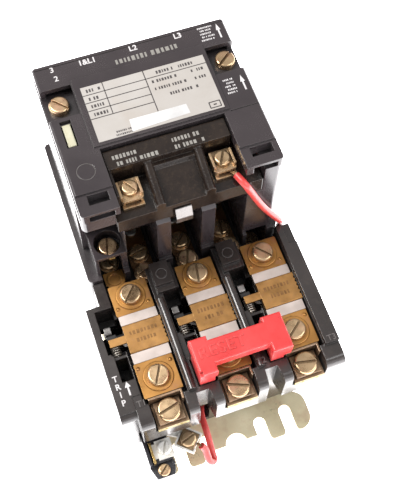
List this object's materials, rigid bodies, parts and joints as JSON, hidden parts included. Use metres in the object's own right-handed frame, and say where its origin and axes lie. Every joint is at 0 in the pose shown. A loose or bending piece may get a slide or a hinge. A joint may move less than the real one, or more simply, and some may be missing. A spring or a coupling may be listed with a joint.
{
  "type": "magnetic motor starter",
  "caption": "Open magnetic motor starter: contactor and melting-alloy overload relay with a red reset bar and a control wire, on a slotted zinc-plated steel mounting plate.",
  "frame": {"origin": "back face of the mounting plate, on the starter's centre line, at the level where the contactor meets the overload relay", "axes": "+Y up the panel towards the line terminals and the plate's two round holes, +Z out of the panel towards the cover, +X to the right seen from the front"},
  "size_m": [0.0966, 0.1665, 0.1192],
  "materials": {
    "zinc_plate": "matt yellow-zinc passivated sheet, lightly mottled",
    "phenolic": "moulded black phenolic, satin, fine mottling",
    "phenolic_brown": "moulded brown-black phenolic, satin",
    "phenolic_base": "moulded charcoal phenolic, satin",
    "phenolic_dark": "moulded black phenolic, matt",
    "coil_resin": "dark brown encapsulating resin, semi-gloss",
    "zinc_screw": "yellow-zinc plated, slightly worn",
    "clamp_brass": "bright brass, stamped",
    "heater_brass": "dull brass sheet, lightly tarnished",
    "heater_band": "pinkish tinned strip, wound",
    "heater_core": "copper-brown stamped plate",
    "copper_strip": "copper alloy, rolled",
    "silver_tip": "silver contact alloy, satin",
    "magnet_iron": "ground silicon-steel laminations",
    "pin_steel": "ground steel",
    "spring_wire": "drawn spring steel wire",
    "clip_steel": "bright nickel-plated spring steel",
    "pad_rubber": "matt black rubber",
    "cream_plastic": "moulded cream nylon, satin",
    "label_card": "printed laminated card, satin",
    "red_plastic": "moulded red plastic, semi-gloss",
    "wire_red": "extruded red insulation, semi-gloss"
  },
  "bodies": {
    "frame": {"base_screws": "zinc_screw", "block_boss": "phenolic", "boss_lug": "clamp_brass", "boss_screw": "zinc_screw", "coil_body": "coil_resin", "coil_clamps": "zinc_screw", "coil_clip": "clip_steel", "coil_screws": "zinc_screw", "coil_terminals": "zinc_screw", "contact_arm_pin": "pin_steel", "contact_block": "phenolic", "contact_screws": "zinc_screw", "control_block": "phenolic_base", "control_screws": "zinc_screw", "control_terminal": "clip_steel", "control_wire": "wire_red", "cover_screws": "zinc_screw", "fixed_contact": "silver_tip", "front_cover": "phenolic", "heater_bands": "heater_band", "heater_cores": "heater_core", "heater_plates": "heater_brass", "heater_screws": "zinc_screw", "heater_washers": "heater_brass", "holding_contacts": "copper_strip", "load_terminals": "clamp_brass", "load_wire_screws": "zinc_screw", "magnet_core": "magnet_iron", "magnet_pad": "pad_rubber", "mounting_plate": "zinc_plate", "nameplate": "label_card", "overload_base": "phenolic_base", "overload_housing": "phenolic_brown", "pawl_springs": "spring_wire", "relay_screws": "zinc_screw", "shading_rings": "copper_strip", "solder_pots": "heater_core", "stationary_contacts": "copper_strip", "stationary_tips": "silver_tip", "supply_straps": "copper_strip", "terminal_screws": "zinc_screw", "wire_clamps": "clamp_brass", "wire_strands": "copper_strip", "wire_terminal": "clamp_brass"},
    "carrier": {"contact_carrier": "phenolic_dark", "contact_bridges": "copper_strip", "contact_springs": "spring_wire", "armature": "magnet_iron", "armature_pin": "pin_steel", "indicator": "cream_plastic", "return_springs": "spring_wire"},
    "reset": {"reset_bar": "red_plastic", "reset_slide": "phenolic_dark", "reset_spring": "spring_wire"},
    "trip": {"trip_slide": "phenolic_dark", "pawls": "clip_steel"},
    "ratchet_1": {"ratchet_wheel_1": "clamp_brass"},
    "ratchet_2": {"ratchet_wheel_2": "clamp_brass"},
    "ratchet_3": {"ratchet_wheel_3": "clamp_brass"},
    "arm": {"contact_arm": "clamp_brass"}
  },
  "joints": [
    {"name": "carrier_slide", "type": "slide", "parent": "frame", "child": "carrier", "axis": [0, 0, -1], "range_m": [0, 0.0045], "stiffness_N_per_m": 500, "springref_m": -0.006, "deforming": ["return_springs"]},
    {"name": "reset_slide_joint", "type": "slide", "parent": "frame", "child": "reset", "axis": [0, 0, -1], "range_m": [0, 0.0035], "stiffness_N_per_m": 800, "springref_m": -0.002, "deforming": ["reset_spring"]},
    {"name": "trip_slide_joint", "type": "slide", "parent": "frame", "child": "trip", "axis": [0, 1, 0], "range_m": [0, 0.004]},
    {"name": "ratchet_1_spin", "type": "hinge", "parent": "frame", "child": "ratchet_1", "pos_m": [-0.0281, -0.0275, 0.044], "axis": [0, 0, 1], "range_deg": [-42, 0]},
    {"name": "ratchet_2_spin", "type": "hinge", "parent": "frame", "child": "ratchet_2", "pos_m": [0.00215, -0.0275, 0.044], "axis": [0, 0, 1], "range_deg": [-42, 0]},
    {"name": "ratchet_3_spin", "type": "hinge", "parent": "frame", "child": "ratchet_3", "pos_m": [0.0324, -0.0275, 0.044], "axis": [0, 0, 1], "range_deg": [-42, 0]},
    {"name": "arm_hinge", "type": "hinge", "parent": "frame", "child": "arm", "pos_m": [-0.0362, -0.0456, 0.0158], "axis": [-1, 0, 0], "range_deg": [0, 8]}
  ],
  "couplings": [
    {"joint": "ratchet_1_spin", "follows": "trip_slide_joint", "rad_per_m": -181.51},
    {"joint": "ratchet_2_spin", "follows": "trip_slide_joint", "rad_per_m": -181.51},
    {"joint": "ratchet_3_spin", "follows": "trip_slide_joint", "rad_per_m": -181.51},
    {"joint": "arm_hinge", "follows": "trip_slide_joint", "rad_per_m": 34.47}
  ]
}
